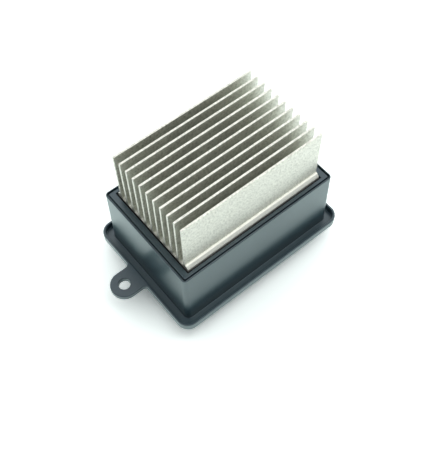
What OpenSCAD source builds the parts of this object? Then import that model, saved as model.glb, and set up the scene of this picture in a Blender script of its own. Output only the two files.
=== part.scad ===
// Blower motor speed regulator: an extruded finned heat sink set into a moulded
// housing, with the power transistors and the control board closed in underneath.
// Z is 0 at the mouth of the plug sockets, X runs along the fins.

/* [Heat sink] */
// Number of fins
fin_count = 11; // [7:1:15]
// Distance from one fin to the next
fin_pitch = 4.2; // [3.8:0.1:5]
// Thickness of a fin
fin_t = 1; // [0.7:0.1:1.6]
// Length of the fins and of the base under them
fin_len = 68.7; // [66:0.1:90]
// Height of the fins above the shoulders of the base
fin_h = 24; // [12:0.5:40]
// Depth of the grooves between the fins, below the shoulders
groove_d = 3; // [1:0.5:4]
// Radius in the two bottom corners of a groove
groove_r = 1.2; // [0.3:0.1:1.5]
// Thickness of the base under the grooves
base_t = 5; // [4.5:0.5:8]
// Flat top of the shoulder along each outer fin
shoulder_w = 1; // [0.5:0.1:3]
// Width of the slope outside the shoulder
slope_w = 0.9; // [0.4:0.1:2]
// Drop of the slope outside the shoulder
slope_h = 1.8; // [0.8:0.1:2.6]

/* [Housing] */
// Gap at the two ends of the heat sink's base
end_gap = 0.75; // [0.4:0.05:1.2]
// Gap along the two sides of the heat sink's base
side_gap = 0.35; // [0.25:0.05:1]
// Width of the ledge at the two ends of the heat sink
end_ledge = 2.45; // [1.5:0.05:6]
// Width of the ledge along the two sides of the heat sink
side_ledge = 1.6; // [1:0.05:6]
// Width of the gutter between the ledge and the rim
gutter_w = 0.65; // [0.4:0.05:0.8]
// Depth of the gutter below the ledge
gutter_d = 1; // [0.5:0.1:2]
// Thickness of the rim round the top
rim_t = 0.75; // [0.5:0.05:0.9]
// Height of the rim above the ledge
rim_h = 0.2; // [0.1:0.1:1.5]
// Height from the underside of the flange to the top of the rim
collar_h = 33.3; // [31:0.1:50]
// Height of the shoulders of the heat sink above the rim
base_rise = 2.8; // [1:0.1:5]
// Radius of the upright corners of the collar
collar_r = 1.8; // [1.65:0.05:2.5]
// How far the collar's walls spread outwards from the rim down to the flange
draft = 0.5; // [0.2:0.1:1.2]
// Rounding of the top edges of the rim and of the flange's lip
edge_r = 0.35; // [0.15:0.05:0.35]
// Thickness of the collar's walls
wall_t = 2; // [1.8:0.1:2.8]
// Thickness of the deck that the heat sink is screwed to
deck_t = 2.5; // [2:0.1:4]

/* [Flange] */
// Reach of the flange outside the collar
flange_reach = 4.85; // [4:0.05:12]
// Thickness of the flange
flange_t = 1.35; // [1:0.05:2.5]
// Height of the lip, from the underside of the flange
lip_h = 4.15; // [3.2:0.05:7]
// Thickness of the lip
lip_t = 1.1; // [0.8:0.1:2]
// Corner radius of the flange
flange_r = 5.5; // [4:0.1:8]
// Distance from the flange's edge to the screw hole
ear_out = 6.9; // [5:0.1:12]
// Offset of the ear from the middle of its side
ear_y = 2; // [-10:0.1:10]
// Radius of the round end of the ear
ear_r = 6.2; // [5:0.1:8]
// Thickness of the ear
ear_t = 2.7; // [1.8:0.1:3]
// Radius where the ear runs into the flange
ear_fillet = 2; // [1:0.1:4]
// Diameter of the screw hole in the ear
ear_hole_d = 5.2; // [4:0.1:6.5]
// Width of the retaining nose on the far wall
nose_w = 14; // [8:0.5:24]
// Reach of the retaining nose from the wall
nose_reach = 2.6; // [1.5:0.1:3.6]
// Room between the lip and the nose for the edge of the air duct
nose_gap = 2.6; // [1.5:0.1:4]

/* [Cover and sockets] */
// Height of the sockets below the flange
socket_h = 8.6; // [7:0.1:14]
// Thickness of the cover
cover_t = 2.5; // [2.2:0.1:3.5]
// Width of the step that the cover seats on
cover_step = 0.9; // [0.6:0.1:1]
// Clearance round the cover and round the terminals
fit_gap = 0.15; // [0.1:0.05:0.3]
// Length of the opening of one socket
socket_l = 20.5; // [19:0.5:26]
// Width of the sockets' openings
socket_w = 15; // [13:0.5:20]
// Thickness of the sockets' walls
socket_wall = 1.5; // [1.2:0.1:2.2]
// Thickness of the wall between the two sockets
partition_t = 2; // [1.5:0.1:4]
// Thickness of the floor of the sockets
socket_floor = 1.5; // [1:0.1:1.9]

/* [Electronics] */
// Thickness of the circuit board
board_t = 1.6; // [1:0.1:2]
// Room between the cover and the circuit board
board_gap = 4.9; // [4.5:0.1:7]
// Clearance round the circuit board
board_clear = 1.2; // [0.8:0.1:2]
// Width of a power terminal blade
blade_w = 6.3; // [4.8:0.1:6.3]
// Thickness of a terminal
blade_t = 0.8; // [0.6:0.1:1]
// Distance of a terminal's tip from the mouth of its socket
blade_tip = 1.8; // [1:0.1:3]
// Width of a signal pin
pin_w = 1.5; // [1:0.1:2.2]
// Distance from one signal pin to the next
pin_pitch = 4; // [3:0.1:4.5]
// Length of a power transistor's body
transistor_l = 20.9; // [18:0.1:22]
// Width of a power transistor's body
transistor_w = 15.9; // [14:0.1:17]
// Thickness of a power transistor's body
transistor_t = 5; // [4:0.1:5.5]
// Distance of a transistor from the middle
transistor_x = 13; // [11.5:0.1:15]
// Thickness of the insulating pad under a transistor
pad_t = 0.3; // [0.2:0.05:0.6]
// Diameter of the electrolytic capacitor
can_d = 10; // [8:0.5:10]
// Height of the electrolytic capacitor
can_h = 12; // [8:0.5:13]

/* [Fasteners] */
// Thread diameter of the screws in the heat sink
sink_screw_d = 3; // [2.5:0.1:3.5]
// Thread diameter of the cover's screws
cover_screw_d = 3; // [2.5:0.1:3.5]
// Thread diameter of the board's screws
board_screw_d = 2.2; // [2:0.1:2.6]
// Radial play of a screw in its hole
screw_gap = 0.05; // [0.02:0.01:0.1]

/* [Hidden] */
$fn = 48;

// Overlap that lets two shapes of one piece run into each other
eps = 0.01;
// How far a cutting shape runs past the face that it cuts
through = 1;

// Plan sizes, from the heat sink outwards
base_w = (fin_count - 1) * fin_pitch + fin_t + 2 * (shoulder_w + slope_w);
pocket_l = fin_len + 2 * end_gap;
pocket_w = base_w + 2 * side_gap;
ledge_l = pocket_l + 2 * end_ledge;
ledge_w = pocket_w + 2 * side_ledge;
collar_l = ledge_l + 2 * (gutter_w + rim_t);
collar_w = ledge_w + 2 * (gutter_w + rim_t);
flange_l = collar_l + 2 * flange_reach;
flange_w = collar_w + 2 * flange_reach;
cavity_l = collar_l - 2 * wall_t;
cavity_w = collar_w - 2 * wall_t;
recess_l = cavity_l + 2 * cover_step;
recess_w = cavity_w + 2 * cover_step;
cover_l = recess_l - 2 * fit_gap;
cover_w = recess_w - 2 * fit_gap;
shroud_l = 2 * socket_l + partition_t + 2 * socket_wall;
shroud_w = socket_w + 2 * socket_wall;

// Heights, from the mouth of the sockets upwards
flange_z = socket_h;
lip_z = flange_z + lip_h;
rim_z = flange_z + collar_h;
ledge_z = rim_z - rim_h;
gutter_z = ledge_z - gutter_d;
shoulder_z = rim_z + base_rise;
groove_z = shoulder_z - groove_d;
fin_z = shoulder_z + fin_h;
deck_z = groove_z - base_t;
deck_under = deck_z - deck_t;
cover_z = flange_z + cover_t;
floor_z = cover_z - socket_floor;
board_z = cover_z + board_gap;
board_top = board_z + board_t;

// Screws: head sizes follow the thread
head_d_ratio = 1.87;
head_h_ratio = 0.72;
function head_d(d) = head_d_ratio * d;
function head_h(d) = head_h_ratio * d;

// Screws that hold the heat sink on the deck
sink_screw_inset = [6, 5];
sink_screw_bite = base_t - 1;
sink_screw_at = [fin_len / 2 - sink_screw_inset.x, base_w / 2 - sink_screw_inset.y];

// Bosses of the cover's screws, in the corners of the cavity
cover_boss_wall = 1.7;
cover_boss_r = cover_screw_d / 2 + cover_boss_wall;
boss_merge = 0.3;
cover_boss_at = [cavity_l / 2 - cover_boss_r + boss_merge, cavity_w / 2 - cover_boss_r + boss_merge];
cover_screw_bite = 8;

// Bosses of the board's screws, hanging from the deck at its two ends
board_boss_wall = 1.65;
board_boss_inset = 6.5;
board_boss_y = 9;
board_boss_r = board_screw_d / 2 + board_boss_wall;
board_boss_at = [cavity_l / 2 - board_boss_inset, board_boss_y];
board_screw_bite = 6;

// Circuit board
board_l = cavity_l - 2 * board_clear;
board_w = cavity_w - 2 * board_clear;

// Transistors lie under the base, with their legs bent down to the board
transistor_y = 2;
transistor_z = deck_z - pad_t - transistor_t;
transistor_hole_play = 0.6;
transistor_hole_inset = 5;
transistor_hole_d = sink_screw_d + transistor_hole_play;
transistor_hole_y = transistor_y + transistor_l / 2 - transistor_hole_inset;
leg_w = 1.2;
leg_t = 0.6;
leg_pitch = 5.45;
leg_out = 3.5;
leg_past = 1;
leg_y = transistor_y - transistor_l / 2 - leg_out;
leg_z = transistor_z + transistor_t / 2;
window_gap = 1.6;
window_l = 2 * transistor_x + transistor_w + 2 * window_gap;
window_y0 = leg_y - leg_t - window_gap;
window_y1 = transistor_y + transistor_l / 2 + window_gap;

// Terminals: two blades in the motor socket, two blades and the pins in the other
socket_mid = (partition_t + socket_l) / 2;
blade_spread = socket_l / 2 - 4.5;
blade_shoulder = 1;
tail_w = 4;
tail_past = 1;
tip_cut = 1;
pin_count = 3;

// Parts on the board: insets are measured from the walls of the cavity, sizes are the real ones
can_inset = [13, 7.8];
can_at = [can_inset.x - cavity_l / 2, cavity_w / 2 - can_inset.y];
film_size = [13, 6, 11];
film_r = 0.8;
film_inset = [15, 7.8];
film_at = [cavity_l / 2 - film_inset.x, cavity_w / 2 - film_inset.y];
shunt_l = 16;
shunt_w = 4;
shunt_rise = 4;
shunt_t = 0.8;
shunt_inset = 7.4;
shunt_y = cavity_w / 2 - shunt_inset;
chip_size = [8.7, 3.9, 1.5];
chip_legs = 7;
chip_leg_pitch = 1.27;
chip_leg = [0.4, 1, 0.5];
chip_inset = 6.4;
chip_y = chip_inset - cavity_w / 2;
resistor_size = [3.2, 1.6, 0.6];
capacitor_size = [3.2, 2.5, 1.6];
small_part_pitch = 4.6;
small_part_count = 4;
small_part_x = 8.5;
diode_size = [7, 6, 2.4];
diode_at = [0, -6.2];

// A flat plate outline with true round corners
module rounded_rect(l, w, r) {
    square([l - 2 * r, w], center = true);
    square([l, w - 2 * r], center = true);
    for (x = [-1, 1], y = [-1, 1])
        translate([x * (l / 2 - r), y * (w / 2 - r)]) circle(r);
}

module plate(l, w, r, z0, z1) {
    translate([0, 0, z0]) linear_extrude(z1 - z0) rounded_rect(l, w, r);
}

module block(l, w, z0, z1) {
    translate([-l / 2, -w / 2, z0]) cube([l, w, z1 - z0]);
}

// Carries a cross-section round a rectangle with round corners. In the section, x is the
// distance from a corner's centre, so the outer face stands at x = r, and y is the height.
module sweep_round(l, w, r) {
    for (turn = [0, 180]) rotate(turn) {
        translate([l / 2 - r, 0, 0]) rotate([90, 0, 0]) linear_extrude(w - 2 * r, center = true) children();
        translate([0, w / 2 - r, 0]) rotate([90, 0, 90]) linear_extrude(l - 2 * r, center = true) children();
        translate([l / 2 - r, w / 2 - r, 0]) rotate_extrude(angle = 90) children();
        translate([l / 2 - r, r - w / 2, 0]) rotate(-90) rotate_extrude(angle = 90) children();
    }
}

// The section of an upright wall with rounded top edges; its foot may spread outwards
module upstand(r_out, t, z0, z1, spread) {
    e = min(edge_r, t / 2 - eps);
    polygon([[r_out - t, z0], [r_out + spread, z0], [r_out, z1 - e], [r_out - t, z1 - e]]);
    translate([r_out - t + e, z0]) square([t - 2 * e, z1 - z0]);
    for (x = [r_out - t + e, r_out - e]) translate([x, z1 - e]) circle(e);
}

module four_corners(at) {
    for (x = [-1, 1], y = [-1, 1]) translate([x * at.x, y * at.y, 0]) children();
}

// A screw that points up, with the underside of its head at the origin
module screw(d, len) {
    translate([0, 0, -eps]) cylinder(d = d, h = len + eps);
    translate([0, 0, -head_h(d)]) cylinder(d = head_d(d), h = head_h(d));
}

// The ear's outline: a tongue with a round end, run into the flange with two fillets
module ear_outline() {
    root = lip_t;
    translate([-ear_out, 0]) circle(ear_r);
    translate([-ear_out, -ear_r]) square([ear_out + root, 2 * ear_r]);
    for (side = [-1, 1]) difference() {
        translate([-ear_fillet, side > 0 ? ear_r - eps : -ear_r - ear_fillet])
            square([ear_fillet + root, ear_fillet + eps]);
        translate([-ear_fillet, side * (ear_r + ear_fillet)]) circle(ear_fillet);
    }
}

// The flange is a shallow tray: a thin plate with an upright lip round its edge
module flange() {
    plate(flange_l - lip_t, flange_w - lip_t, flange_r - lip_t / 2, flange_z, flange_z + flange_t);
    sweep_round(flange_l, flange_w, flange_r) upstand(flange_r, lip_t, flange_z, lip_z, 0);
}

module ear() {
    translate([-flange_l / 2, ear_y, lip_z - ear_t]) linear_extrude(ear_t) ear_outline();
}

// The nose hooks behind the edge of the duct's opening, across from the ear
module nose() {
    z0 = lip_z + nose_gap;
    tip_h = 1;
    wall_x = draft * (rim_z - z0) / collar_h;
    reach = wall_x + nose_reach;
    translate([collar_l / 2, nose_w / 2, 0]) rotate([90, 0, 0]) linear_extrude(nose_w)
        polygon([[-eps, z0], [reach, z0], [reach, z0 + tip_h], [-eps, z0 + 2 * nose_reach]]);
}

// The collar is a box up to the gutter; the ledge stands on it inside the gutter, and outside
// the gutter the box's skin runs on upwards as the rim
module collar() {
    plate(collar_l - rim_t, collar_w - rim_t, collar_r - rim_t / 2, flange_z, gutter_z);
    plate(ledge_l, ledge_w, collar_r - rim_t - gutter_w, gutter_z - eps, ledge_z);
    sweep_round(collar_l, collar_w, collar_r) upstand(collar_r, rim_t, flange_z, rim_z, draft);
}

module housing() {
    color("#20272b") difference() {
        union() {
            flange();
            ear();
            collar();
            nose();
        }
        block(pocket_l, pocket_w, deck_z, rim_z);
        translate([-window_l / 2, window_y0, deck_under - through])
            cube([window_l, window_y1 - window_y0, deck_t + 2 * through]);
        cavity();
        block(recess_l, recess_w, flange_z - through, cover_z);
        four_corners(sink_screw_at) translate([0, 0, deck_under - through])
            cylinder(d = sink_screw_d + 2 * fit_gap, h = deck_t + 2 * through);
        translate([-flange_l / 2 - ear_out, ear_y, lip_z - ear_t - through])
            cylinder(d = ear_hole_d, h = ear_t + 2 * through);
    }
}

// The room for the electronics, with the bosses left standing in it
module cavity() {
    difference() {
        block(cavity_l, cavity_w, cover_z - eps, deck_under);
        four_corners(cover_boss_at) difference() {
            translate([0, 0, cover_z]) cylinder(r = cover_boss_r, h = deck_under - cover_z + eps);
            translate([0, 0, cover_z - eps])
                cylinder(d = cover_screw_d + 2 * screw_gap, h = cover_screw_bite + 1);
        }
        four_corners(board_boss_at) difference() {
            translate([0, 0, board_top]) cylinder(r = board_boss_r, h = deck_under - board_top + eps);
            translate([0, 0, board_top - eps])
                cylinder(d = board_screw_d + 2 * screw_gap, h = board_screw_bite + 1);
        }
    }
}

// One groove between two fins, with its bottom corners rounded
module groove_outline() {
    w = fin_pitch - fin_t;
    r = min(groove_r, w / 2 - eps);
    translate([-w / 2, groove_z + r]) square([w, fin_z - groove_z]);
    translate([r - w / 2, groove_z]) square([w - 2 * r, fin_z - groove_z]);
    for (side = [-1, 1]) translate([side * (w / 2 - r), groove_z + r]) circle(r);
}

// The section of the extrusion, across the fins
module sink_outline() {
    fins_w = (fin_count - 1) * fin_pitch + fin_t;
    shoulder = fins_w / 2 + shoulder_w;
    foot = base_w / 2;
    difference() {
        union() {
            translate([-fins_w / 2, deck_z]) square([fins_w, fin_z - deck_z]);
            polygon([
                [-foot, deck_z], [foot, deck_z], [foot, shoulder_z - slope_h],
                [shoulder, shoulder_z], [-shoulder, shoulder_z], [-foot, shoulder_z - slope_h]
            ]);
        }
        for (i = [0 : fin_count - 2])
            translate([(i - (fin_count - 2) / 2) * fin_pitch, 0]) groove_outline();
    }
}

module heat_sink() {
    color("#c4c6bf") difference() {
        translate([-fin_len / 2, 0, 0]) rotate([90, 0, 90]) linear_extrude(fin_len) sink_outline();
        four_corners(sink_screw_at) translate([0, 0, deck_z - eps])
            cylinder(d = sink_screw_d + 2 * screw_gap, h = sink_screw_bite + 0.5 + eps);
        for (x = [-1, 1]) translate([x * transistor_x, transistor_hole_y, deck_z - eps])
            cylinder(d = sink_screw_d + 2 * screw_gap, h = sink_screw_bite + 0.5 + eps);
    }
}

// Black silicone in the gap between the base and the pocket
module sealing_bead() {
    bead_drop = 1;
    bead_top = ledge_z - bead_drop;
    color("#15191b") difference() {
        block(pocket_l, pocket_w, deck_z, bead_top);
        block(fin_len, base_w, deck_z - eps, bead_top + eps);
    }
}

module heat_sink_screws() {
    color("#a8abad") four_corners(sink_screw_at)
        translate([0, 0, deck_under]) screw(sink_screw_d, deck_t + sink_screw_bite);
}

module transistor(side) {
    notch_r = 1.8;
    color("#191b1c") translate([side * transistor_x, 0, 0]) difference() {
        translate([-transistor_w / 2, transistor_y - transistor_l / 2, transistor_z])
            cube([transistor_w, transistor_l, transistor_t]);
        translate([0, transistor_hole_y, transistor_z - eps])
            cylinder(d = transistor_hole_d, h = transistor_t + 2 * eps);
        for (x = [-1, 1]) translate([x * transistor_w / 2, transistor_hole_y, transistor_z - eps])
            cylinder(r = notch_r, h = transistor_t + 2 * eps);
    }
}

module transistor_legs(side) {
    z0 = board_z - leg_past;
    y1 = transistor_y - transistor_l / 2;
    color("#b9b4a6") for (i = [-1 : 1]) translate([side * transistor_x + i * leg_pitch - leg_w / 2, 0, 0]) {
        translate([0, leg_y, leg_z]) cube([leg_w, y1 - leg_y, leg_t]);
        translate([0, leg_y, z0]) cube([leg_w, leg_t, leg_z - z0 + eps]);
    }
}

module thermal_pad(side) {
    margin = 0.5;
    color("#8d9499") difference() {
        translate([side * transistor_x - transistor_w / 2 - margin, transistor_y - transistor_l / 2 - margin,
                   deck_z - pad_t])
            cube([transistor_w + 2 * margin, transistor_l + 2 * margin, pad_t]);
        translate([side * transistor_x, transistor_hole_y, deck_z - pad_t - eps])
            cylinder(d = transistor_hole_d, h = pad_t + 2 * eps);
    }
}

module transistor_screws() {
    color("#a8abad") for (x = [-1, 1]) translate([x * transistor_x, transistor_hole_y, transistor_z])
        screw(sink_screw_d, transistor_t + pad_t + sink_screw_bite);
}

// Places of the terminals in plan, and the width of each tail in the board
function blade_x(side, end) = side * socket_mid + end * blade_spread;

module board_slot(x, y, w) {
    translate([x - blade_t / 2 - fit_gap, y - w / 2 - fit_gap, board_z - eps])
        cube([blade_t + 2 * fit_gap, w + 2 * fit_gap, board_t + 2 * eps]);
}

module circuit_board() {
    color("#2f5d3c") difference() {
        block(board_l, board_w, board_z, board_top);
        four_corners(cover_boss_at) translate([0, 0, board_z - eps])
            cylinder(r = cover_boss_r + board_clear, h = board_t + 2 * eps);
        four_corners(board_boss_at) translate([0, 0, board_z - eps])
            cylinder(d = board_screw_d + 2 * fit_gap, h = board_t + 2 * eps);
        for (x = [-1, 1], i = [-1 : 1])
            translate([x * transistor_x + i * leg_pitch - leg_w / 2 - fit_gap, leg_y - fit_gap, board_z - eps])
                cube([leg_w + 2 * fit_gap, leg_t + 2 * fit_gap, board_t + 2 * eps]);
        for (end = [-1, 1]) board_slot(blade_x(-1, end), 0, tail_w);
        board_slot(blade_x(1, -1), 0, tail_w);
        board_slot(ground_x, 0, tail_w);
        for (i = [0 : pin_count - 1]) board_slot(blade_x(1, 1), pin_y(i), pin_w);
    }
}

module board_screws() {
    color("#a8abad") four_corners(board_boss_at)
        translate([0, 0, board_z]) screw(board_screw_d, board_t + board_screw_bite);
}

// Aluminium can with the rolled groove near its foot
module electrolytic_capacitor() {
    groove = 0.5;
    groove_at = 2;
    color("#3b4046") translate([can_at.x, can_at.y, board_top]) rotate_extrude() difference() {
        square([can_d / 2, can_h]);
        translate([can_d / 2, groove_at]) circle(groove);
    }
}

module film_capacitor() {
    color("#9c8b3f") translate([film_at.x, film_at.y, 0])
        plate(film_size.x, film_size.y, film_r, board_top, board_top + film_size.z);
}

// Bridge of resistance strip, soldered at both feet
module shunt_resistor() {
    foot = 3;
    color("#b08d6a") translate([0, shunt_y + shunt_w / 2, board_top]) rotate([90, 0, 0]) linear_extrude(shunt_w) {
        for (side = [-1, 1]) {
            translate([side > 0 ? shunt_l / 2 - foot : -shunt_l / 2, 0]) square([foot, shunt_t]);
            translate([side * (shunt_l / 2 - foot) - (side > 0 ? 0 : shunt_t), 0]) square([shunt_t, shunt_rise]);
        }
        translate([foot - shunt_l / 2 - shunt_t, shunt_rise - shunt_t])
            square([shunt_l - 2 * foot + 2 * shunt_t, shunt_t]);
    }
}

module control_chip() {
    color("#191b1c") translate([0, chip_y, 0]) {
        block(chip_size.x, chip_size.y, board_top, board_top + chip_size.z);
        for (i = [0 : chip_legs - 1], side = [-1, 1])
            translate([(i - (chip_legs - 1) / 2) * chip_leg_pitch - chip_leg.x / 2,
                       side > 0 ? chip_size.y / 2 - eps : -chip_size.y / 2 - chip_leg.y, board_top])
                cube([chip_leg.x, chip_leg.y + eps, chip_leg.z]);
    }
}

// A row of small soldered parts beside the control chip
module small_parts(side, size) {
    for (i = [0 : small_part_count - 1])
        translate([side * (small_part_x + i * small_part_pitch), chip_y, 0])
            block(size.x, size.y, board_top, board_top + size.z);
}

module chip_resistors() {
    color("#22262a") small_parts(-1, resistor_size);
}

module chip_capacitors() {
    color("#a98f6c") small_parts(1, capacitor_size);
}

module suppressor_diode() {
    color("#191b1c") translate([diode_at.x, diode_at.y, 0])
        block(diode_size.x, diode_size.y, board_top, board_top + diode_size.z);
}

// A flat terminal: contact end down in the socket, shoulder under the board, tail through it
module terminal(x, y, w, tail) {
    z_shoulder = board_z - blade_shoulder;
    translate([x - blade_t / 2, y, 0]) rotate([90, 0, 90]) linear_extrude(blade_t) {
        polygon([
            [-w / 2, z_shoulder], [-w / 2, blade_tip + tip_cut], [tip_cut / 2 - w / 2, blade_tip],
            [w / 2 - tip_cut / 2, blade_tip], [w / 2, blade_tip + tip_cut], [w / 2, z_shoulder]
        ]);
        translate([-tail / 2, z_shoulder - eps]) square([tail, board_top + tail_past - z_shoulder + eps]);
    }
}

ground_x = blade_x(1, -0.1);
function pin_y(i) = (i - (pin_count - 1) / 2) * pin_pitch;

module motor_plus_blade() {
    color("#b8a876") terminal(blade_x(-1, -1), 0, blade_w, tail_w);
}

module motor_minus_blade() {
    color("#b8a876") terminal(blade_x(-1, 1), 0, blade_w, tail_w);
}

module supply_blade() {
    color("#b8a876") terminal(blade_x(1, -1), 0, blade_w, tail_w);
}

module ground_blade() {
    color("#b8a876") terminal(ground_x, 0, blade_w, tail_w);
}

module signal_pins() {
    color("#b8a876") for (i = [0 : pin_count - 1]) terminal(blade_x(1, 1), pin_y(i), pin_w, pin_w);
}

module floor_slot(x, y, w) {
    translate([x - blade_t / 2 - fit_gap, y - w / 2 - fit_gap, floor_z - eps])
        cube([blade_t + 2 * fit_gap, w + 2 * fit_gap, socket_floor + 2 * eps]);
}

// The ramp on the outside of a socket that a plug's latch snaps over
module latch_ramp(x) {
    ramp_w = 7;
    ramp_h = 4;
    ramp_out = 1.3;
    ramp_z = 1.2;
    translate([x - ramp_w / 2, shroud_w / 2, ramp_z]) rotate([90, 0, 90]) linear_extrude(ramp_w)
        polygon([[-eps, 0], [ramp_out, ramp_h - 0.6], [ramp_out, ramp_h], [-eps, ramp_h]]);
}

module bottom_cover() {
    shroud_r = 2;
    color("#23292d") difference() {
        union() {
            plate(cover_l, cover_w, collar_r, flange_z, cover_z);
            plate(shroud_l, shroud_w, shroud_r, 0, flange_z + eps);
            for (side = [-1, 1]) latch_ramp(side * socket_mid);
        }
        for (side = [-1, 1]) translate([side * socket_mid, 0, 0])
            block(socket_l, socket_w, -eps, floor_z);
        for (end = [-1, 1]) floor_slot(blade_x(-1, end), 0, blade_w);
        floor_slot(blade_x(1, -1), 0, blade_w);
        floor_slot(ground_x, 0, blade_w);
        for (i = [0 : pin_count - 1]) floor_slot(blade_x(1, 1), pin_y(i), pin_w);
        four_corners(cover_boss_at) translate([0, 0, flange_z - eps])
            cylinder(d = cover_screw_d + 2 * fit_gap, h = cover_t + 2 * eps);
    }
}

module cover_screws() {
    color("#a8abad") four_corners(cover_boss_at)
        translate([0, 0, flange_z]) screw(cover_screw_d, cover_t + cover_screw_bite);
}

housing();
heat_sink();
sealing_bead();
heat_sink_screws();
transistor(-1);  // transistor_left
transistor(1);  // transistor_right
transistor_legs(-1);  // transistor_legs_left
transistor_legs(1);  // transistor_legs_right
thermal_pad(-1);  // thermal_pad_left
thermal_pad(1);  // thermal_pad_right
transistor_screws();
circuit_board();
board_screws();
electrolytic_capacitor();
film_capacitor();
shunt_resistor();
control_chip();
chip_resistors();
chip_capacitors();
suppressor_diode();
motor_plus_blade();
motor_minus_blade();
supply_blade();
ground_blade();
signal_pins();
bottom_cover();
cover_screws();
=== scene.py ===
import math

import bmesh
import bpy
from mathutils import Matrix, Vector


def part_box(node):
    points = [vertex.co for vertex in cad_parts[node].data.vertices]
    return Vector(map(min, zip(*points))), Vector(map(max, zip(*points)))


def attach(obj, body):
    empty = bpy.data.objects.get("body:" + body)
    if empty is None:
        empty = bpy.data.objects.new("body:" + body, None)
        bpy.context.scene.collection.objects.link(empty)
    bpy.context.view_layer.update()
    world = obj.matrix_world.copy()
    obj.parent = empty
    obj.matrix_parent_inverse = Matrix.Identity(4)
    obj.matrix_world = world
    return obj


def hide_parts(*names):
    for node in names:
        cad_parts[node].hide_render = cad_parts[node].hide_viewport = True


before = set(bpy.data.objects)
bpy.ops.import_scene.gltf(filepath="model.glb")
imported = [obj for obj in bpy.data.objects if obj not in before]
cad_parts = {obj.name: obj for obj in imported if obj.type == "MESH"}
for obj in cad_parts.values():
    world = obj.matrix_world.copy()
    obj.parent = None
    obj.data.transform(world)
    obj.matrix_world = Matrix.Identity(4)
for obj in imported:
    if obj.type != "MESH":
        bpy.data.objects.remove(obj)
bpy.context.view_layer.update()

# Housing
# One moulding in black glass-filled polyamide: a collar with a little draft and a thin rim, standing
# in a shallow tray whose upright lip carries the ear for the screw. A gutter parts the rim from the
# ledge round the heat sink, and a nose on the far wall hooks behind the duct's edge.
mm = 0.001
housing_low, housing_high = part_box("housing")
sink_low, sink_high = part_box("heat_sink")
cover_low, cover_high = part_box("bottom_cover")

lip_t = 1.1 * mm
tray_t = 1.35 * mm
tray_r = 5.5 * mm
tray_reach = 4.85 * mm
lip_h = 4.15 * mm
rim_t = 0.5 * mm
rim_h = 0.2 * mm
rim_r = 0.42 * mm
gutter_w = 0.8 * mm
gutter_d = 1.3 * mm
draft = 0.5 * mm
collar_r = 1.8 * mm
wall_t = 2 * mm
deck_t = 2.5 * mm
end_gap, side_gap = 0.75 * mm, 0.65 * mm
fit_gap = 0.15 * mm
edge_r = 0.35 * mm
foot_r = 0.3 * mm
inside_r = 0.15 * mm
past = 1 * mm
arc_steps = 5
corner_steps = 10
round_steps = 48

tray_l, tray_w = housing_high.x, housing_high.y
tray_z = housing_low.z
lip_z = tray_z + lip_h
moat_z = tray_z + tray_t
rim_z = housing_high.z
ledge_z = rim_z - rim_h
gutter_z = ledge_z - gutter_d
deck_z = sink_low.z
deck_under = deck_z - deck_t
cover_z = cover_high.z
collar_l, collar_w = tray_l - tray_reach, tray_w - tray_reach
foot_out = draft * (rim_z - moat_z) / (rim_z - tray_z)
pocket_l, pocket_w = sink_high.x + end_gap, sink_high.y + side_gap
cavity_l, cavity_w = collar_l - wall_t, collar_w - wall_t
recess_l, recess_w = cover_high.x + fit_gap, cover_high.y + fit_gap
quarters = ((1, 1), (-1, 1), (-1, -1), (1, -1))


def ring(half_l, half_w, radius, z, middle=(0, 0)):
    """A rounded rectangle of points at one height."""
    points = []
    for corner, (sx, sy) in enumerate(quarters):
        for step in range(corner_steps + 1):
            turn = math.radians(90 * (corner + step / corner_steps))
            x = sx * (half_l - radius) + radius * math.cos(turn)
            y = sy * (half_w - radius) + radius * math.sin(turn)
            points.append(Vector((middle[0] + x, middle[1] + y, z)))
    return points


def arc(inset, z, radius, start, end):
    """Pairs of inset and height along an arc, with angles from the outward direction."""
    turns = [math.radians(start + (end - start) * step / arc_steps) for step in range(arc_steps + 1)]
    return [(inset - radius * math.cos(turn), z + radius * math.sin(turn)) for turn in turns]


def round_top(thickness, z, outer_r, inner_r):
    """Over the top of an upright wall, from its outer face to its inner one."""
    outer = arc(outer_r, z - outer_r, outer_r, 0, 90)
    inner = arc(thickness - inner_r, z - inner_r, inner_r, 90, 180)
    return outer + inner


def wrapped(profile, half_l, half_w, radius):
    """Carries a profile of insets and heights round a rounded rectangle."""
    return [ring(half_l - inset, half_w - inset, max(radius - inset, inside_r), z) for inset, z in profile]


def made(name, shape):
    """Turns a bmesh into an object with its faces outwards."""
    bmesh.ops.recalc_face_normals(shape, faces=shape.faces)
    mesh = bpy.data.meshes.new(name)
    shape.to_mesh(mesh)
    shape.free()
    piece = bpy.data.objects.new(name, mesh)
    bpy.context.collection.objects.link(piece)
    return piece


def lofted(name, rings, closed=False):
    """A skin over rings of equal count: closed into a hoop, or capped at both ends."""
    shape = bmesh.new()
    loops = [[shape.verts.new(point) for point in points] for points in rings]
    pairs = list(zip(loops, loops[1:]))
    if closed:
        pairs.append((loops[-1], loops[0]))
    else:
        shape.faces.new(loops[0])
        shape.faces.new(loops[-1])
    for lower, upper in pairs:
        for i in range(len(lower)):
            j = (i + 1) % len(lower)
            shape.faces.new((lower[i], lower[j], upper[j], upper[i]))
    return made(name, shape)


def settled(piece):
    """Makes what the modifiers give the piece's own mesh."""
    graph = bpy.context.evaluated_depsgraph_get()
    mesh = bpy.data.meshes.new_from_object(piece.evaluated_get(graph))
    piece.modifiers.clear()
    piece.data = mesh
    return piece


def combined(piece, operation, tools):
    """Adds the tools to the piece, or cuts them out of it."""
    for tool in tools:
        step = piece.modifiers.new(operation, "BOOLEAN")
        step.operation = operation
        step.solver = "MANIFOLD"
        step.object = tool
    settled(piece)
    for tool in tools:
        bpy.data.objects.remove(tool)
    return piece


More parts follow.
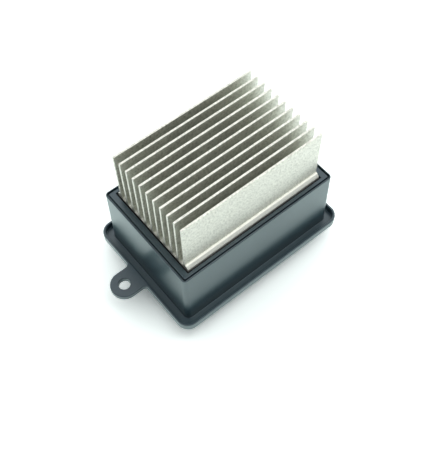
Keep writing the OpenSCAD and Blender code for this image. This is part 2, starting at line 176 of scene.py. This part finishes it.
def eased(piece, width, segments, angle=30):
    """Rounds the edges where two faces meet at more than the angle, in degrees."""
    soften = piece.modifiers.new("soften", "BEVEL")
    soften.width = width
    soften.segments = segments
    soften.limit_method = "ANGLE"
    soften.angle_limit = math.radians(angle)
    return settled(piece)


def smoothed(piece, angle=32):
    """Smooth shading that keeps flat faces flat and edges crisp."""
    piece.data.polygons.foreach_set("use_smooth", [True] * len(piece.data.polygons))
    piece.data.set_sharp_from_angle(angle=math.radians(angle))
    weigh = piece.modifiers.new("weigh", "WEIGHTED_NORMAL")
    weigh.keep_sharp = True
    return settled(piece)


def turned(name, profile, at, steps=round_steps):
    """A round piece: pairs of radius and height turned about an upright axis."""
    turns = [2 * math.pi * step / steps for step in range(steps)]
    outward = [(math.cos(turn), math.sin(turn)) for turn in turns]
    rings = []
    for radius, z in profile:
        rings.append([Vector((at[0] + radius * x, at[1] + radius * y, z)) for x, y in outward])
    return lofted(name, rings)


def rod(name, radius, z0, z1, at, steps=round_steps):
    """A plain round rod between two heights."""
    return turned(name, [(radius, z0), (radius, z1)], at, steps)


def flared_drill(radius, z0, z1, flare, at):
    """A drill for a round hole, wider where it leaves both faces."""
    lower = [(radius + flare + past, z0 - past), (radius + flare, z0), (radius, z0 + flare)]
    upper = [(radius, z1 - flare), (radius + flare, z1), (radius + flare + past, z1 + past)]
    return turned("drill", lower + upper, at)


tray_profile = (
    arc(edge_r, tray_z + edge_r, edge_r, -90, 0)
    + round_top(lip_t, lip_z, edge_r, edge_r)
    + arc(lip_t + foot_r, moat_z + foot_r, foot_r, 0, -90)
)
collar_profile = (
    arc(-foot_out - foot_r, moat_z + foot_r, foot_r, 270, 180)
    + round_top(rim_t, rim_z, rim_r, rim_t - rim_r)
    + arc(rim_t + inside_r, gutter_z + inside_r, inside_r, 0, -90)
    + arc(rim_t + gutter_w - inside_r, gutter_z + inside_r, inside_r, -90, -180)
    + arc(rim_t + gutter_w + inside_r, ledge_z - inside_r, inside_r, 0, 90)
)
pocket_profile = arc(-inside_r, ledge_z - inside_r, inside_r, 90, 180) + [(0, deck_z)]

# The deck's window, where the transistors reach the heat sink from below
window_l = 22.55 * mm
window_front, window_back = -13.55 * mm, 14.05 * mm
window_w = (window_back - window_front) / 2
window_middle = (0, (window_front + window_back) / 2)

skin = wrapped(tray_profile, tray_l, tray_w, tray_r)
skin += wrapped(collar_profile, collar_l, collar_w, collar_r)
skin += wrapped(pocket_profile, pocket_l, pocket_w, inside_r)
skin += [ring(window_l, window_w, inside_r, z, window_middle) for z in (deck_z, deck_under)]
skin += [ring(cavity_l, cavity_w, inside_r, z) for z in (deck_under, cover_z)]
skin += [ring(recess_l, recess_w, inside_r, z) for z in (cover_z, tray_z)]
housing = lofted("housing_moulding", skin, closed=True)

# The ear: a tongue with a round end, run into the lip with a fillet on each side
ear_r = 6.2 * mm
ear_t = 2.7 * mm
ear_y = 2 * mm
ear_fillet = 2 * mm
ear_hole_r = 2.6 * mm
ear_hole_edge = 0.15 * mm
ear_x = housing_low.x + ear_r
ear_root = -tray_l + lip_t / 2
ear_steps = 24


def ear_ring(inset, z):
    """The ear's outline at one height, drawn in by an inset."""
    end_r = ear_r - inset
    blend_r = ear_fillet + inset
    blend_x, blend_y = -tray_l - ear_fillet, ear_r + ear_fillet
    side = [(ear_root, blend_y)]
    for step in range(ear_steps + 1):
        turn = math.radians(90 * step / ear_steps)
        side.append((blend_x + blend_r * math.cos(turn), blend_y - blend_r * math.sin(turn)))
    end = []
    for step in range(2 * ear_steps + 1):
        turn = math.radians(90 + 90 * step / ear_steps)
        end.append((ear_x + end_r * math.cos(turn), end_r * math.sin(turn)))
    other_side = [(x, -y) for x, y in reversed(side)]
    return [Vector((x, ear_y + y, z)) for x, y in side + end + other_side]


ear_profile = (
    arc(edge_r, lip_z - ear_t + edge_r, edge_r, -90, 0)
    + arc(edge_r, lip_z - edge_r, edge_r, 0, 90)
)
ear = lofted("ear", [ear_ring(inset, z) for inset, z in ear_profile])

# The nose on the far wall, a wedge that springs past the edge of the duct
nose_w = 14 * mm
nose_reach = 2.6 * mm
nose_lift = 2.6 * mm
nose_tip = 1 * mm
nose_z = lip_z + nose_lift
nose_top = nose_z + 2 * nose_reach
nose_root = collar_l - wall_t / 2
nose_end = collar_l + draft * (rim_z - nose_z) / (rim_z - tray_z) + nose_reach
nose_outline = (
    (nose_root, nose_z), (nose_end, nose_z), (nose_end, nose_z + nose_tip),
    (collar_l, nose_top), (nose_root, nose_top),
)
nose_sides = (-nose_w / 2, nose_w / 2)
nose = lofted("nose", [[Vector((x, y, z)) for x, z in nose_outline] for y in nose_sides])
eased(nose, edge_r, segments=3)

# Bosses for the cover's and the board's screws, and the holes through the deck
screw_d, board_screw_d = 3 * mm, 2.2 * mm
cover_boss_wall, board_boss_wall = 1.7 * mm, 1.65 * mm
screw_gap = 0.05 * mm
head_d_ratio, head_h_ratio = 1.87, 0.72
board_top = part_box("circuit_board")[1].z


def corners(node_name, thread_d):
    """Axes of a set of four screws, from the box round their heads."""
    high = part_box(node_name)[1]
    head_r = head_d_ratio * thread_d / 2
    return [(sx * (high.x - head_r), sy * (high.y - head_r)) for sx, sy in quarters]


boss_sets = (
    ("cover_screws", screw_d, cover_boss_wall, cover_z),
    ("board_screws", board_screw_d, board_boss_wall, board_top),
)
bosses, drills = [], []
for node_name, thread_d, boss_wall, boss_z in boss_sets:
    boss_r = thread_d / 2 + boss_wall
    hole_r = thread_d / 2 + screw_gap
    hole_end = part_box(node_name)[1].z + past
    for at in corners(node_name, thread_d):
        bosses.append(rod("boss", boss_r, boss_z, deck_under + deck_t / 2, at))
        drills.append(rod("drill", hole_r, boss_z - past, hole_end, at))
deck_hole_r = screw_d / 2 + fit_gap
for at in corners("heat_sink_screws", screw_d):
    drills.append(rod("drill", deck_hole_r, deck_under - past, deck_z + past, at))
drills.append(flared_drill(ear_hole_r, lip_z - ear_t, lip_z, ear_hole_edge, (ear_x, ear_y)))
combined(housing, "UNION", [ear, nose] + bosses)
combined(housing, "DIFFERENCE", drills)
smoothed(housing)


def adder(tree):
    """A way to add a node to a tree, with its settings and links by name."""
    def add(kind, **settings):
        node = tree.nodes.new(kind)
        for key, value in settings.items():
            if isinstance(value, bpy.types.NodeSocket):
                tree.links.new(value, node.inputs[key])
            elif key in node.inputs:
                node.inputs[key].default_value = value
            else:
                setattr(node, key, value)
        return node

    return add


def finish(name):
    """An empty finish: the material, its node tree, its shader and a way to add a node."""
    material = bpy.data.materials.new(name)
    material.use_nodes = True
    tree = material.node_tree
    return material, tree, tree.nodes["Principled BSDF"], adder(tree)


def grain(add, scale, detail=3.0, stretch=(1, 1, 1), rough=0.55):
    """Noise on the piece's own coordinates. The scale is in grains to the metre."""
    place = add("ShaderNodeTexCoord").outputs["Object"]
    if stretch != (1, 1, 1):
        place = add("ShaderNodeMapping", Vector=place, Scale=stretch).outputs["Vector"]
    return add("ShaderNodeTexNoise", Vector=place, Scale=scale, Detail=detail, Roughness=rough).outputs["Fac"]


def spread(add, value, low, high, start=0.3, end=0.7, way="LINEAR"):
    """Stretches a value that runs from start to end to a range of numbers."""
    settings = {"Value": value, "From Min": start, "From Max": end, "To Min": low, "To Max": high}
    return add("ShaderNodeMapRange", interpolation_type=way, **settings).outputs["Result"]


def tinted(add, value, dark, light, start=0.3, end=0.7):
    """A colour that runs from dark to light with a noise value."""
    ramp = add("ShaderNodeValToRGB", Fac=value)
    for stop, place, colour in zip(ramp.color_ramp.elements, (start, end), (dark, light)):
        stop.position = place
        stop.color = (*colour, 1)
    return ramp.outputs["Color"]


def bumped(add, tree, shader, height, strength, depth):
    """Raises the surface by a noise value, with the depth in metres."""
    relief = add("ShaderNodeBump", Height=height, Strength=strength, Distance=depth)
    tree.links.new(relief.outputs["Normal"], shader.inputs["Normal"])


colour_grains, flow_grains, skin_grains = 700, 45, 3200
plastic_rough = (0.38, 0.46)
plastic_relief = 0.12
relief_depth = 0.03 * mm


def moulded_plastic(name, dark, light):
    """Satin black polyamide: near even colour, soft flow marks in its gloss, a fine spark-eroded skin.

    A resin-rich skin lies over the glass fibres, so the shader has two reflecting layers."""
    material, tree, shader, add = finish(name)
    tree.links.new(tinted(add, grain(add, colour_grains), dark, light), shader.inputs["Base Color"])
    flow = grain(add, flow_grains, detail=2, stretch=(1, 1, 0.5))
    tree.links.new(spread(add, flow, *plastic_rough), shader.inputs["Roughness"])
    bumped(add, tree, shader, grain(add, skin_grains, detail=2), plastic_relief, relief_depth)
    shader.inputs["IOR"].default_value = 1.8
    shader.inputs["Specular Tint"].default_value = (0.15, 0.30, 0.38, 1)
    shader.inputs["Coat Weight"].default_value = 1
    shader.inputs["Coat IOR"].default_value = 1.66
    shader.inputs["Coat Roughness"].default_value = 0.28
    shader.inputs["Coat Tint"].default_value = (0.68, 0.98, 0.95, 1)
    return material


def placed(piece, material, node_name):
    """Gives a piece its finish and its place in the frame."""
    piece.data.materials.clear()
    piece.data.materials.append(material)
    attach(piece, "root")
    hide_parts(node_name)


housing_plastic = moulded_plastic("housing_plastic", (0.008, 0.015, 0.026), (0.013, 0.022, 0.036))
placed(housing, housing_plastic, "housing")

# Heat sink
# One length of extruded aluminium, sawn at both ends: eleven fins on a thick base whose two long
# edges slope away. The mill finish keeps the die's fine lines along the fins.
fin_count = 11
fin_pitch = 4.2 * mm
fin_t = 1 * mm
groove_r = 1.2 * mm
groove_d = 2.1 * mm
base_t = 5 * mm
shoulder_w = 0.9 * mm
shoulder_fall = 0.2 * mm
slope_h = 1.6 * mm
fin_edge_r = 0.14 * mm
fin_sink = 1 * mm
fin_lean = math.radians(0.12)
fin_seed = 7
sink_ends = (-sink_high.x, sink_high.x)
base_w = sink_high.y
fin_z = sink_high.z
groove_z = deck_z + base_t
shoulder_z = groove_z + groove_d
outer_fin_y = (fin_count - 1) * fin_pitch / 2
fins_w = outer_fin_y + fin_t / 2


def extruded(name, outline, ends):
    """A section in Y and Z drawn out along X."""
    return lofted(name, [[Vector((x, y, z)) for y, z in outline] for x in ends])


def sawn(name, side):
    """A length of extrusion, drawn by the points on one side of its middle, with its edges broken."""
    outline = side + [(-y, z) for y, z in reversed(side)]
    return eased(extruded(name, outline, sink_ends), fin_edge_r, segments=3, angle=22)


def fin_side():
    """One side of a fin, with its foot flared into the groove."""
    half = fin_t / 2
    side = [(half + groove_r, groove_z - fin_sink), (half + groove_r, groove_z)]
    for step in range(1, arc_steps + 1):
        turn = math.radians(90 * step / arc_steps)
        y = half + groove_r - groove_r * math.sin(turn)
        side.append((y, groove_z + groove_r - groove_r * math.cos(turn)))
    return side + [(half, fin_z)]


def copier(name, sizes):
    """A node tree for copies of one shape: the tree, a way to add a node, and what its inputs give."""
    tree = bpy.data.node_groups.new(name, "GeometryNodeTree")
    tree.interface.new_socket("Geometry", in_out="OUTPUT", socket_type="NodeSocketGeometry")
    inputs = {"Shape": "Object", **sizes, "Turn from": "Vector", "Turn to": "Vector", "Finish": "Material"}
    for label, kind in inputs.items():
        tree.interface.new_socket(label, in_out="INPUT", socket_type="NodeSocket" + kind)
    add = adder(tree)
    return tree, add, add("NodeGroupInput").outputs


def copied(add, given, points, seed):
    """Ends a tree with a copy of its shape on each point, each turned by its own angle."""
    shape = add("GeometryNodeObjectInfo", Object=given["Shape"])
    turn = add("FunctionNodeRandomValue", data_type="FLOAT_VECTOR", Seed=seed,
               Min=given["Turn from"], Max=given["Turn to"])
    copies = add("GeometryNodeInstanceOnPoints", Points=points,
                 Instance=shape.outputs["Geometry"], Rotation=turn.outputs["Value"])
    real = add("GeometryNodeRealizeInstances", Geometry=copies.outputs["Instances"])
    coat = add("GeometryNodeSetMaterial", Geometry=real.outputs["Geometry"], Material=given["Finish"])
    add("NodeGroupOutput", Geometry=coat.outputs["Geometry"])


def fin_row_tree():
    """Copies one fin across the base, each leaning a little of its own."""
    tree, add, given = copier("Fin row", {"Count": "Int", "Start": "Vector", "Pitch": "Vector"})
    row = add("GeometryNodeMeshLine", Count=given["Count"], Offset=given["Pitch"],
              **{"Start Location": given["Start"]})
    copied(add, given, row.outputs["Mesh"], fin_seed)
    return tree


def grown(name, tree, sizes):
    """A plain mesh from a node tree, with what each of the tree's inputs is given under its label."""
    piece = bpy.data.objects.new(name, bpy.data.meshes.new(name))
    bpy.context.collection.objects.link(piece)
    nodes = piece.modifiers.new("nodes", "NODES")
    nodes.node_group = tree
    for item in tree.interface.items_tree:
        if item.in_out == "INPUT":
            nodes[item.identifier] = sizes[item.name]
    return settled(piece)


def worked_out(add, operation, *values):
    """The result of a Math node on sockets and plain numbers."""
    node = add("ShaderNodeMath", operation=operation)
    for place, value in zip(node.inputs, values):
        if isinstance(value, bpy.types.NodeSocket):
            node.id_data.links.new(value, place)
        else:
            place.default_value = value
    return node.outputs["Value"]


speck_grains, line_grains, cloud_grains = 1300, 900, 90
line_share = 0.1
# Painted highlight: from just outside the outer fins, the metal gets one even, light colour and no grain
smooth_highlight_from, smooth_highlight_to = fins_w + 0.2 * mm, fins_w + 0.4 * mm
smooth_highlight_value = 0.61
mill_dark, mill_light = (0.545, 0.558, 0.495), (0.905, 0.918, 0.84)
mill_rough = (0.43, 0.53)
mill_relief = 0.35
mill_depth = 0.04 * mm


def mill_aluminium(name):
    """Bare extruded aluminium: die lines along X, a grainy etched skin and faint cloudy patches.

    The shoulders and sloped sides outside the fins are smooth, with no grain, and carry a painted highlight:
    one even colour near the metal's lightest tone."""
    material, tree, shader, add = finish(name)
    specks = grain(add, speck_grains, detail=4, stretch=(0.8, 1, 1), rough=0.8)
    lines = grain(add, line_grains, detail=2, stretch=(0.02, 1, 1))
    clouds = grain(add, cloud_grains, detail=2)
    grains = worked_out(add, "MULTIPLY_ADD", lines, line_share, specks)
    place = add("ShaderNodeSeparateXYZ", Vector=add("ShaderNodeTexCoord").outputs["Object"])
    across = worked_out(add, "ABSOLUTE", place.outputs["Y"])
    # Mixes the painted highlight on the shoulders and sloped sides with the grain on the fins
    grain_vs_highlight = spread(add, across, 1, 0, smooth_highlight_from, smooth_highlight_to)
    skin_value = add("ShaderNodeMix", Factor=grain_vs_highlight, A=smooth_highlight_value, B=grains).outputs["Result"]
    skin_and_highlight_colour = tinted(add, skin_value, mill_dark, mill_light, start=0.40, end=0.62)
    tree.links.new(skin_and_highlight_colour, shader.inputs["Base Color"])
    tree.links.new(spread(add, clouds, *mill_rough), shader.inputs["Roughness"])
    bumped(add, tree, shader, skin_value, mill_relief, mill_depth)
    shader.inputs["Metallic"].default_value = 0.85
    return material


aluminium = mill_aluminium("aluminium")
fin = sawn("fin", fin_side())
fins = grown("fins", fin_row_tree(), {
    "Shape": fin, "Count": fin_count, "Start": (0, -outer_fin_y, 0), "Pitch": (0, fin_pitch, 0),
    "Turn from": (-fin_lean, 0, 0), "Turn to": (fin_lean, 0, 0), "Finish": aluminium,
})
bpy.data.objects.remove(fin)
base_side = [
    (outer_fin_y, groove_z), (outer_fin_y, shoulder_z), (fins_w, shoulder_z),
    (fins_w + shoulder_w, shoulder_z - shoulder_fall),
    (base_w, shoulder_z - slope_h), (base_w, deck_z),
]
heat_sink = sawn("heat_sink_extrusion", base_side)
combined(heat_sink, "UNION", [fins])

# Blind holes in the base for its own screws and the transistors'
transistor_hole_x, transistor_hole_y = 13 * mm, 7.45 * mm
sink_hole_depth = 4.5 * mm
sink_hole_r = screw_d / 2 + screw_gap
sink_hole_end = deck_z + sink_hole_depth
sink_holes = corners("heat_sink_screws", screw_d)
sink_holes += [(side * transistor_hole_x, transistor_hole_y) for side in (-1, 1)]
sink_drills = [rod("drill", sink_hole_r, deck_z - past, sink_hole_end, at, steps=24) for at in sink_holes]
combined(heat_sink, "DIFFERENCE", sink_drills)
smoothed(heat_sink)
placed(heat_sink, aluminium, "heat_sink")

# Sealing bead
# Black silicone run into the gap between the base and the pocket, which keeps water out of the
# electronics. It sets with a slightly hollow top.
bead_low, bead_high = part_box("sealing_bead")
bead_dip = 0.4 * mm
bead_steps = 6
bead_rings = [ring(pocket_l, pocket_w, inside_r, bead_low.z)]
for step in range(bead_steps + 1):
    across = step / bead_steps
    sag = bead_dip * math.sin(math.pi * across)
    half_l, half_w = pocket_l - across * end_gap, pocket_w - across * side_gap
    bead_rings.append(ring(half_l, half_w, inside_r, bead_high.z - sag))
bead_rings.append(ring(pocket_l - end_gap, pocket_w - side_gap, inside_r, bead_low.z))
bead = lofted("sealing_bead_silicone", bead_rings, closed=True)
smoothed(bead)


grains_in_a_patch = 8


def mottled(name, dark, light, scale, rough, metallic=0.0, relief=0.1, stretch=(1, 1, 1)):
    """A plain finish with its own grain: two near colours, patches of gloss and a fine relief."""
    material, tree, shader, add = finish(name)
    skin_value = grain(add, scale, stretch=stretch)
    gloss = grain(add, scale / grains_in_a_patch, detail=2)
    tree.links.new(tinted(add, skin_value, dark, light), shader.inputs["Base Color"])
    tree.links.new(spread(add, gloss, *rough), shader.inputs["Roughness"])
    bumped(add, tree, shader, skin_value, relief, relief_depth)
    shader.inputs["Metallic"].default_value = metallic
    return material


silicone = mottled(
    "silicone", (0.010, 0.011, 0.012), (0.018, 0.019, 0.020), scale=900, rough=(0.35, 0.5))
placed(bead, silicone, "sealing_bead")

# Transistors
# Two moulded power transistors lie under the base on thin insulating pads, each held by a screw.
# Their three tinned legs are bent down into the board.
moulding_compound = mottled(
    "moulding_compound", (0.012, 0.012, 0.013), (0.022, 0.022, 0.024),
    scale=2600, rough=(0.55, 0.7), relief=0.3)
tinned_copper = mottled(
    "tinned_copper", (0.62, 0.60, 0.56), (0.74, 0.72, 0.68), scale=1200, rough=(0.25, 0.4), metallic=1)
pad_grey = mottled(
    "thermal_pad", (0.24, 0.26, 0.27), (0.32, 0.34, 0.35), scale=1800, rough=(0.7, 0.85), relief=0.25)


def dressed(material, *node_names):
    """Gives carried-over solids their finish."""
    for node_name in node_names:
        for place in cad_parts[node_name].material_slots:
            place.material = material


dressed(moulding_compound, "transistor_left", "transistor_right", "suppressor_diode", "control_chip")
dressed(tinned_copper, "transistor_legs_left", "transistor_legs_right")
dressed(pad_grey, "thermal_pad_left", "thermal_pad_right")

# Screws
# Zinc-plated pan heads with a cross recess. One set holds the heat sink to the deck, and others the
# transistors to the base, the board to its bosses and the cover to the housing.
crown_ratio = 0.55
flat_ratio, centre_ratio = 0.62, 0.3
tip_ratio = 0.25
recess_l_ratio, recess_w_ratio, recess_d_ratio = 0.52, 0.2, 0.6
quarter_turn = math.radians(90)
screw_seed = 3


def block(name, size, middle, turn=0):
    """A box about its middle, turned by an angle in degrees about the upright axis."""
    shape = bmesh.new()
    bmesh.ops.create_cube(shape, size=1)
    place = Matrix.Translation(middle) @ Matrix.Rotation(math.radians(turn), 4, "Z")
    bmesh.ops.transform(shape, matrix=place @ Matrix.Diagonal((*size, 1)), verts=shape.verts)
    return made(name, shape)


def screw_blank(d, z_crown, z_tip):
    """One screw on the origin's axis, head down, with its recess cut."""
    head_r = head_d_ratio * d / 2
    head_h = head_h_ratio * d
    crown_h = crown_ratio * head_h
    z_head = z_crown + head_h
    profile = [(head_r * centre_ratio, z_crown), (head_r * flat_ratio, z_crown)]
    for step in range(1, arc_steps + 1):
        turn = math.radians(90 * step / arc_steps)
        radius = head_r * (flat_ratio + (1 - flat_ratio) * math.sin(turn))
        profile.append((radius, z_crown + crown_h * (1 - math.cos(turn))))
    tip = tip_ratio * d
    profile += [(head_r, z_head), (d / 2, z_head), (d / 2, z_tip - tip), (d / 2 - tip, z_tip)]
    screw = turned("screw", profile, (0, 0), steps=32)
    size = (2 * recess_l_ratio * head_r, 2 * recess_w_ratio * head_r, 2 * recess_d_ratio * head_h)
    arms = [block("recess", size, (0, 0, z_crown), turn) for turn in (0, 90)]
    return smoothed(combined(screw, "DIFFERENCE", arms))


def screw_set_tree():
    """Puts a screw on each point of a grid of two by two, or two by one."""
    tree, add, given = copier("Screw set", {"Span": "Vector", "Middle": "Vector", "Rows": "Int"})
    span = add("ShaderNodeSeparateXYZ", Vector=given["Span"]).outputs
    grid = add("GeometryNodeMeshGrid", **{
        "Size X": span["X"], "Size Y": span["Y"], "Vertices X": 2, "Vertices Y": given["Rows"],
    })
    shift = add("GeometryNodeTransform", Geometry=grid.outputs["Mesh"], Translation=given["Middle"])
    copied(add, given, shift.outputs["Geometry"], screw_seed)
    return tree


screw_steel = mottled(
    "screw_steel", (0.52, 0.54, 0.56), (0.68, 0.70, 0.71), scale=1600, rough=(0.25, 0.4), metallic=1)
screw_tree = screw_set_tree()
screw_sets = (
    ("heat_sink_screws", screw_d, 2), ("transistor_screws", screw_d, 1),
    ("board_screws", board_screw_d, 2), ("cover_screws", screw_d, 2),
)
for node_name, thread_d, rows in screw_sets:
    low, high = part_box(node_name)
    head_d = head_d_ratio * thread_d
    blank = screw_blank(thread_d, low.z, high.z)
    screws = grown(node_name + "_zinc", screw_tree, {
        "Shape": blank, "Span": (high.x - low.x - head_d, high.y - low.y - head_d, 0),
        "Middle": (0, (low.y + high.y) / 2, 0), "Rows": rows,
        "Turn from": (0, 0, 0), "Turn to": (0, 0, quarter_turn), "Finish": screw_steel,
    })
    bpy.data.objects.remove(blank)
    placed(screws, screw_steel, node_name)

# Circuit board
# A glass-fibre board under green solder resist, with the control chip, the shunt, the capacitors
# and the small chips soldered to its upper side. The closed housing hides it.
board_laminate = mottled(
    "board_laminate", (0.010, 0.085, 0.040), (0.020, 0.125, 0.060),
    scale=650, rough=(0.3, 0.42), stretch=(1, 0.2, 1))
capacitor_can = mottled(
    "capacitor_can", (0.045, 0.050, 0.056), (0.075, 0.080, 0.088), scale=500, rough=(0.3, 0.45))
capacitor_box = mottled(
    "capacitor_box", (0.36, 0.27, 0.055), (0.46, 0.35, 0.085), scale=800, rough=(0.35, 0.5))
resistance_strip = mottled(
    "resistance_strip", (0.46, 0.30, 0.19), (0.58, 0.40, 0.27),
    scale=1100, rough=(0.3, 0.45), metallic=1, stretch=(0.1, 1, 1))
chip_body = mottled(
    "chip_body", (0.014, 0.016, 0.020), (0.024, 0.027, 0.032), scale=2200, rough=(0.4, 0.55))
chip_ceramic = mottled(
    "chip_ceramic", (0.34, 0.25, 0.15), (0.44, 0.33, 0.21), scale=2200, rough=(0.4, 0.55))
dressed(board_laminate, "circuit_board")
dressed(capacitor_can, "electrolytic_capacitor")
dressed(capacitor_box, "film_capacitor")
dressed(resistance_strip, "shunt_resistor")
dressed(chip_body, "chip_resistors")
dressed(chip_ceramic, "chip_capacitors")

# Terminals
# Blades and pins stamped from tinned brass strip. They stand in the floor of the sockets with
# their chamfered tips towards the plug, and their tails are soldered into the board.
terminal_brass = mottled(
    "terminal_brass", (0.60, 0.54, 0.40), (0.72, 0.66, 0.51),
    scale=1000, rough=(0.22, 0.36), metallic=1, stretch=(1, 1, 0.08))
blade_edge = 0.12 * mm
same_point = 0.001 * mm
same_plane = math.radians(1)


def softened(name, node_name, edge):
    """A copy of a solid with its flat faces made whole and its sharp edges broken."""
    shape = bmesh.new()
    shape.from_mesh(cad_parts[node_name].data)
    bmesh.ops.remove_doubles(shape, verts=shape.verts, dist=same_point)
    bmesh.ops.dissolve_limit(shape, angle_limit=same_plane, verts=shape.verts, edges=shape.edges)
    return smoothed(eased(made(name, shape), edge, segments=2, angle=40))


blade_nodes = ("motor_plus_blade", "motor_minus_blade", "supply_blade", "ground_blade")
for node_name in (*blade_nodes, "signal_pins"):
    terminal = softened(node_name + "_brass", node_name, blade_edge)
    placed(terminal, terminal_brass, node_name)

# Bottom cover
# A second moulding in the same plastic closes the housing from below. It carries the shrouds of
# the two plug sockets side by side, with a ramp on each for the plug's latch.
shroud_l, shroud_w = 23 * mm, 9 * mm
shroud_r = 2 * mm
socket_l, socket_w = 10.25 * mm, 7.5 * mm
socket_r = 0.5 * mm
socket_x = 11.25 * mm
socket_depth = 9.6 * mm
mouth_flare = 0.5 * mm
shroud_sink = 0.15 * mm
ramp_w = 7 * mm
ramp_h = 4 * mm
ramp_out = 1.3 * mm
ramp_lift = 1.2 * mm
ramp_step = 0.6 * mm
slot_h = 4 * mm
cover_hole_r = screw_d / 2 + fit_gap
mouth_z = cover_low.z
ramp_z = mouth_z + ramp_lift
ramp_top = ramp_z + ramp_h

plate_profile = arc(edge_r, tray_z + edge_r, edge_r, -90, 0) + arc(edge_r, cover_z - edge_r, edge_r, 0, 90)
cover = lofted("bottom_cover_moulding", wrapped(plate_profile, cover_high.x, cover_high.y, collar_r))
shroud_profile = arc(edge_r, mouth_z + edge_r, edge_r, -90, 0) + [(0, tray_z + shroud_sink)]
shroud = lofted("shroud", wrapped(shroud_profile, shroud_l, shroud_w, shroud_r))

ramp_outline = (
    (shroud_w - ramp_out, ramp_z), (shroud_w, ramp_z), (shroud_w + ramp_out, ramp_top - ramp_step),
    (shroud_w + ramp_out, ramp_top), (shroud_w - ramp_out, ramp_top),
)
ramps, cutters = [], []
for x in (-socket_x, socket_x):
    ramp = extruded("ramp", ramp_outline, (x - ramp_w / 2, x + ramp_w / 2))
    ramps.append(eased(ramp, edge_r / 2, segments=2))
    cutters.append(lofted("pocket", [
        ring(socket_l + mouth_flare, socket_w + mouth_flare, socket_r, mouth_z - mouth_flare, (x, 0)),
        ring(socket_l, socket_w, socket_r, mouth_z + mouth_flare, (x, 0)),
        ring(socket_l, socket_w, socket_r, mouth_z + socket_depth, (x, 0)),
    ]))
combined(cover, "UNION", [shroud] + ramps)

# Slots for the terminals and holes for the screws
slots = []
for node_name in blade_nodes:
    low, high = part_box(node_name)
    slots.append((low.x, high.x, low.y, high.y))
pin_low, pin_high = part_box("signal_pins")
pin_count = 3
pin_w = 1.5 * mm
pin_pitch = (pin_high.y - pin_low.y - pin_w) / (pin_count - 1)
for pin in range(pin_count):
    start = pin_low.y + pin * pin_pitch
    slots.append((pin_low.x, pin_high.x, start, start + pin_w))
for x0, x1, y0, y1 in slots:
    size = (x1 - x0 + 2 * fit_gap, y1 - y0 + 2 * fit_gap, slot_h)
    cutters.append(block("slot", size, ((x0 + x1) / 2, (y0 + y1) / 2, cover_z)))
for at in corners("cover_screws", screw_d):
    cutters.append(rod("drill", cover_hole_r, tray_z - past, cover_z + past, at, steps=32))
combined(cover, "DIFFERENCE", cutters)
smoothed(cover)
cover_plastic = moulded_plastic("cover_plastic", (0.008, 0.014, 0.025), (0.012, 0.021, 0.035))
placed(cover, cover_plastic, "bottom_cover")

# Floor, light and camera
# White paper in a bright studio, with one soft lamp overhead and a surround that is brightest behind
# on the right. The paper is white to the eye and in reflections, and keeps the shadow.
floor_half = 3
floor_paper = (0.84, 0.90, 0.885)
floor_seen, floor_mirrored = 0.78, 0.50
floor_shape = bmesh.new()
bmesh.ops.create_grid(floor_shape, size=floor_half)
floor = made("floor", floor_shape)
floor_white, floor_tree, _, floor_add = finish("floor_white")
path = floor_add("ShaderNodeLightPath").outputs
mirrored = worked_out(floor_add, "MAXIMUM", path["Is Glossy Ray"], path["Is Transmission Ray"])
in_mirror = worked_out(floor_add, "MULTIPLY_ADD", mirrored, floor_mirrored, 1)
to_eye = worked_out(floor_add, "MULTIPLY_ADD", path["Is Camera Ray"], floor_seen, in_mirror)
paper = floor_add("ShaderNodeVectorMath", operation="SCALE", Vector=floor_paper, Scale=to_eye)
matt = floor_add("ShaderNodeBsdfDiffuse", Color=paper.outputs["Vector"])
floor_tree.links.new(matt.outputs["BSDF"], floor_tree.nodes["Material Output"].inputs["Surface"])
floor.data.materials.append(floor_white)

studio_toward = Vector((0.5, 0.42, 0.75))
studio_dim, studio_bright = 0.30, 1.28
dim_at, bright_at = -0.1, 0.9
world = bpy.data.worlds.new("studio")
bpy.context.scene.world = world
world.use_nodes = True
air = world.node_tree
air_add = adder(air)
facing = air_add("ShaderNodeVectorMath", operation="DOT_PRODUCT")
air.links.new(air_add("ShaderNodeTexCoord").outputs["Generated"], facing.inputs[0])
facing.inputs[1].default_value = studio_toward
rise = spread(air_add, facing.outputs["Value"], studio_dim, studio_bright, dim_at, bright_at, "SMOOTHSTEP")
surround = air.nodes["Background"]
surround.inputs["Color"].default_value = (1, 1, 1, 1)
air.links.new(rise, surround.inputs["Strength"])

lamp_toward = Vector((0.2, -0.25, 0.95))
lamp_distance = 0.75
lamp_size = 0.3
lamp_radiance = 1.6
lamp_data = bpy.data.lights.new("softbox", "AREA")
lamp_data.shape = "SQUARE"
lamp_data.size = lamp_size
lamp_data.energy = lamp_radiance * math.pi * lamp_size ** 2
lamp = bpy.data.objects.new("softbox", lamp_data)
lamp.location = lamp_toward.normalized() * lamp_distance
lamp.rotation_euler = lamp_toward.to_track_quat("Z", "Y").to_euler()
bpy.context.collection.objects.link(lamp)

camera_target = Vector((-1.5, 2.73, 0)) * mm
camera_distance = 342.5 * mm
camera_near = 10 * mm
camera_azimuth, camera_elevation, camera_roll = -37.41, 59.41, -1.90
photo_w, photo_h = 435, 474
photo_focal = 742.1
photo_middle = (213.5, 234.5)
sensor = 36
around, above = math.radians(camera_azimuth), math.radians(camera_elevation)
back = Vector((math.sin(around) * math.cos(above), -math.cos(around) * math.cos(above), math.sin(above)))
camera_data = bpy.data.cameras.new("camera")
camera_data.sensor_fit = "VERTICAL"
camera_data.sensor_height = sensor
camera_data.lens = photo_focal / photo_h * sensor
camera_data.shift_x = (photo_w / 2 - photo_middle[0]) / photo_h
camera_data.shift_y = (photo_middle[1] - photo_h / 2) / photo_h
camera_data.clip_start = camera_near
camera = bpy.data.objects.new("camera", camera_data)
camera.location = camera_target + back * camera_distance
look = back.to_track_quat("Z", "Y").to_matrix() @ Matrix.Rotation(math.radians(camera_roll), 3, "Z")
camera.rotation_euler = look.to_euler()
bpy.context.collection.objects.link(camera)
bpy.context.scene.camera = camera
bpy.context.scene.view_settings.view_transform = "Standard"
